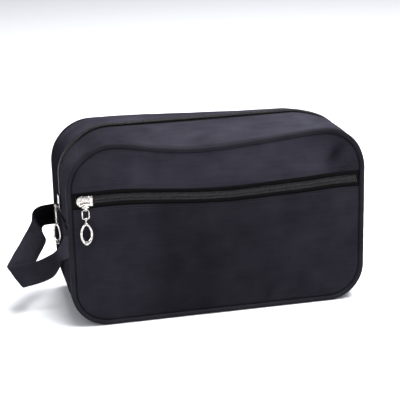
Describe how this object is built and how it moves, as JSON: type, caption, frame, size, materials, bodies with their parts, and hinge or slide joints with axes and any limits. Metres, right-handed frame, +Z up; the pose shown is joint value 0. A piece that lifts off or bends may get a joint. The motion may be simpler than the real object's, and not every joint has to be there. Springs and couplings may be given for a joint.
{
  "type": "toiletry bag",
  "caption": "Soft zip-top wash bag with piped edges, a zipped front pocket, hanging metal zip pulls and a drooping carry loop at one end.",
  "frame": {"origin": "centre of the flat base, on the surface that the bag stands on", "axes": "+X along the width, away from the carry loop; -Y out of the front with the pocket; +Z up"},
  "size_m": [0.3054, 0.1098, 0.158],
  "materials": {
    "shell_nylon": "black plain-weave nylon with a soft satin sheen",
    "strap_nylon": "black folded nylon strip, topstitched along both edges",
    "piping_nylon": "black nylon over a piping cord",
    "binding_tape": "black woven binding tape",
    "lining": "dark grey lining taffeta",
    "zip_tape": "black woven zip tape",
    "zip_coil": "black nylon coil, satin",
    "polished_nickel": "polished nickel plate"
  },
  "bodies": {
    "root": {"front_piping": "piping_nylon", "back_piping": "piping_nylon", "front_binding": "binding_tape", "back_binding": "binding_tape", "back_panel": "shell_nylon", "front_upper_panel": "shell_nylon", "pocket_panel": "shell_nylon", "pocket_backing": "lining", "base_gusset": "shell_nylon", "end_strips_front": "shell_nylon", "end_strips_back": "shell_nylon", "end_tape_front": "zip_tape", "end_tape_back": "zip_tape", "end_coil_front": "zip_coil", "end_coil_back": "zip_coil", "back_lining": "lining", "gusset_lining": "lining", "pocket_tape_upper": "zip_tape", "pocket_tape_lower": "zip_tape", "pocket_coil_upper": "zip_coil", "pocket_coil_lower": "zip_coil", "strap_tab_front": "strap_nylon", "strap_tab_back": "strap_nylon"},
    "front_flap": {"top_strip_front": "shell_nylon", "top_tape_front": "zip_tape", "top_coil_front": "zip_coil"},
    "back_flap": {"top_strip_back": "shell_nylon", "top_tape_back": "zip_tape", "top_coil_back": "zip_coil"},
    "pocket_slider": {"pocket_slider": "polished_nickel", "pocket_slider_bail": "polished_nickel"},
    "pocket_lug": {"pocket_lug": "polished_nickel"},
    "pocket_ring": {"pocket_ring": "polished_nickel"},
    "pocket_pull": {"pocket_neck": "polished_nickel", "pocket_pull": "polished_nickel"},
    "top_slider": {"top_slider": "polished_nickel", "top_slider_bail": "polished_nickel"},
    "top_lug": {"top_lug": "polished_nickel"},
    "top_ring": {"top_ring": "polished_nickel"},
    "top_pull": {"top_neck": "polished_nickel", "top_pull": "polished_nickel"},
    "carry_loop": {"strap_loop": "strap_nylon"}
  },
  "joints": [
    {"name": "front_flap_open", "type": "hinge", "parent": "root", "child": "front_flap", "pos_m": [0, -0.0478, 0.1567], "axis": [1, 0, 0], "range_deg": [0, 70]},
    {"name": "back_flap_open", "type": "hinge", "parent": "root", "child": "back_flap", "pos_m": [0, 0.0478, 0.1567], "axis": [1, 0, 0], "range_deg": [-70, 0]},
    {"name": "pocket_zip_slide", "type": "slide", "parent": "root", "child": "pocket_slider", "axis": [1, 0, 0], "range_m": [0, 0.226]},
    {"name": "pocket_lug_swing", "type": "hinge", "parent": "pocket_slider", "child": "pocket_lug", "pos_m": [-0.115, -0.0555, 0.1099], "axis": [-1, 0, 0], "range_deg": [0, 100]},
    {"name": "pocket_ring_swing", "type": "hinge", "parent": "pocket_lug", "child": "pocket_ring", "pos_m": [-0.115, -0.0555, 0.1059], "axis": [-1, 0, 0], "range_deg": [0, 45]},
    {"name": "pocket_pull_swing", "type": "hinge", "parent": "pocket_ring", "child": "pocket_pull", "pos_m": [-0.115, -0.0555, 0.0979], "axis": [-1, 0, 0], "range_deg": [0, 35]},
    {"name": "top_zip_slide", "type": "slide", "parent": "root", "child": "top_slider", "axis": [0, 0, 1], "range_m": [0, 0.017]},
    {"name": "top_lug_swing", "type": "hinge", "parent": "top_slider", "child": "top_lug", "pos_m": [-0.1335, 0, 0.0944], "axis": [0, 1, 0], "range_deg": [0, 100]},
    {"name": "top_ring_swing", "type": "hinge", "parent": "top_lug", "child": "top_ring", "pos_m": [-0.1335, 0, 0.0904], "axis": [0, 1, 0], "range_deg": [0, 45]},
    {"name": "top_pull_swing", "type": "hinge", "parent": "top_ring", "child": "top_pull", "pos_m": [-0.1335, 0, 0.0824], "axis": [0, 1, 0], "range_deg": [0, 35]},
    {"name": "carry_loop_lift", "type": "hinge", "parent": "root", "child": "carry_loop", "pos_m": [-0.1371, 0, 0.068], "axis": [0, 1, 0], "range_deg": [0, 90]}
  ],
  "couplings": [
    {"joint": "back_flap_open", "follows": "front_flap_open", "ratio": -1}
  ]
}
